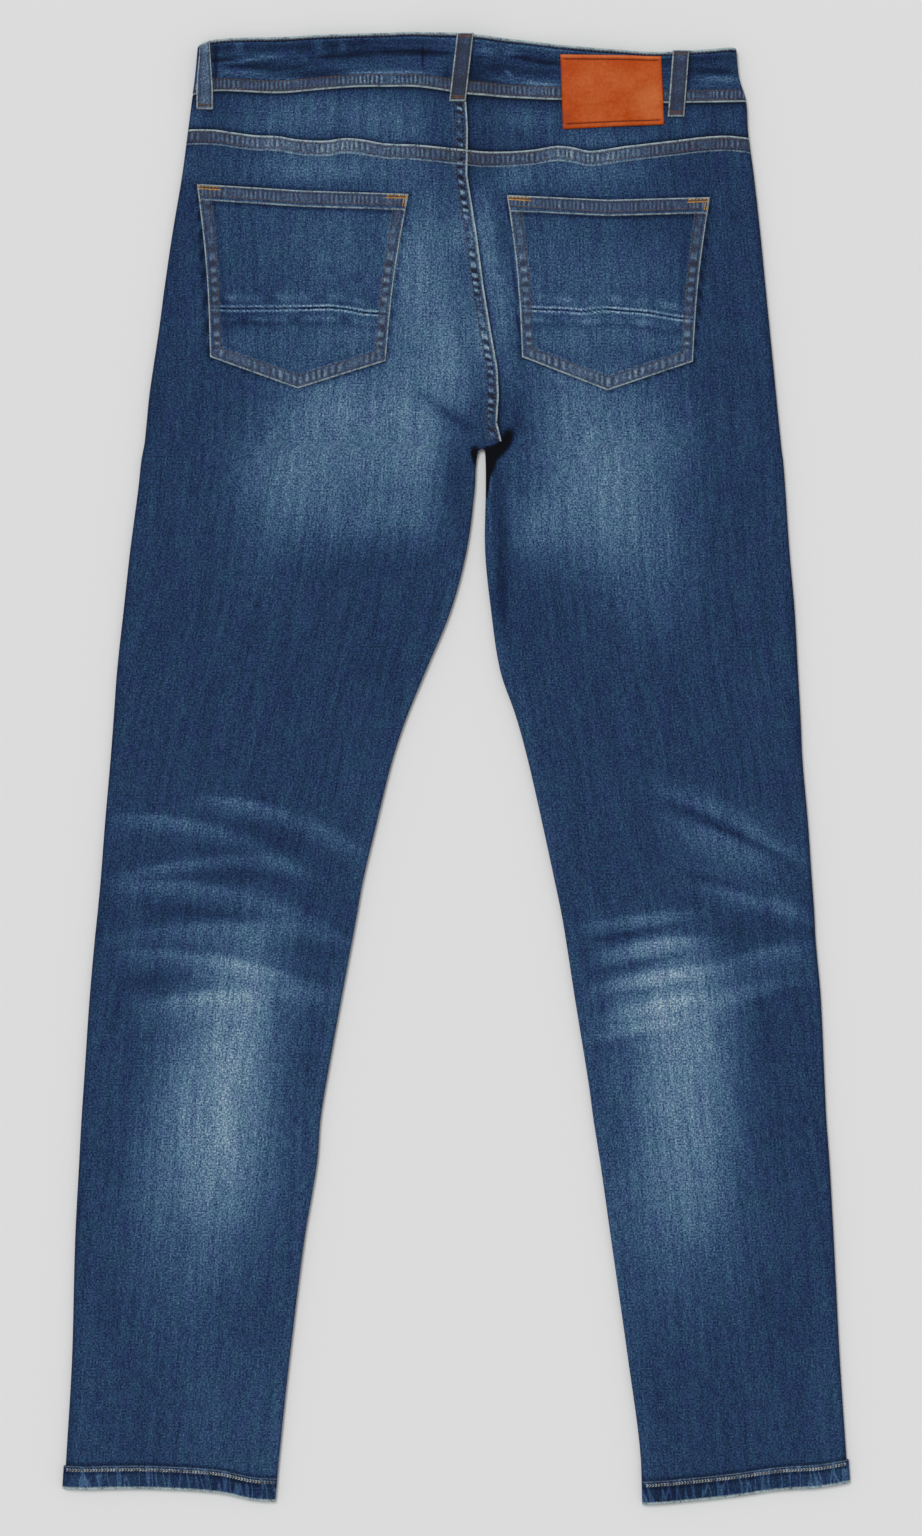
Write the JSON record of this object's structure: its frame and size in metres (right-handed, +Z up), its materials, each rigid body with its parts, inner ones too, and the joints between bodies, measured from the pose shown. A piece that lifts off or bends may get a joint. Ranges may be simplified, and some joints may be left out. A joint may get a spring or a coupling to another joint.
{
  "type": "slim fit jeans",
  "caption": "Slim denim jeans lying flat on their front: long tapered legs with turned hems, back yoke, patch pockets, a waistband with belt loops and a bare leather patch.",
  "frame": {"origin": "centre of the bounding box on the surface that the jeans lie on", "axes": "+Z up, out of the back of the jeans; +Y from the hems to the waistband; +X to the wearer's right"},
  "size_m": [0.5955, 1.1174, 0.016],
  "materials": {
    "denim": "washed indigo twill, matt, faded over the seat, thighs and calves",
    "leather": "tan leather, lightly polished",
    "button_metal": "aged metal, satin"
  },
  "bodies": {
    "root": {"back_left": "denim", "back_right": "denim", "yoke_left": "denim", "yoke_right": "denim", "back_pocket_left": "denim", "back_pocket_right": "denim", "waistband": "denim", "loop_back_left": "denim", "loop_back_centre": "denim", "loop_back_right": "denim", "loop_front_left": "denim", "loop_front_right": "denim", "front_left": "denim", "front_right": "denim", "pocket_facing_left": "denim", "pocket_facing_right": "denim", "patch": "leather", "button": "button_metal"}
  },
  "joints": []
}
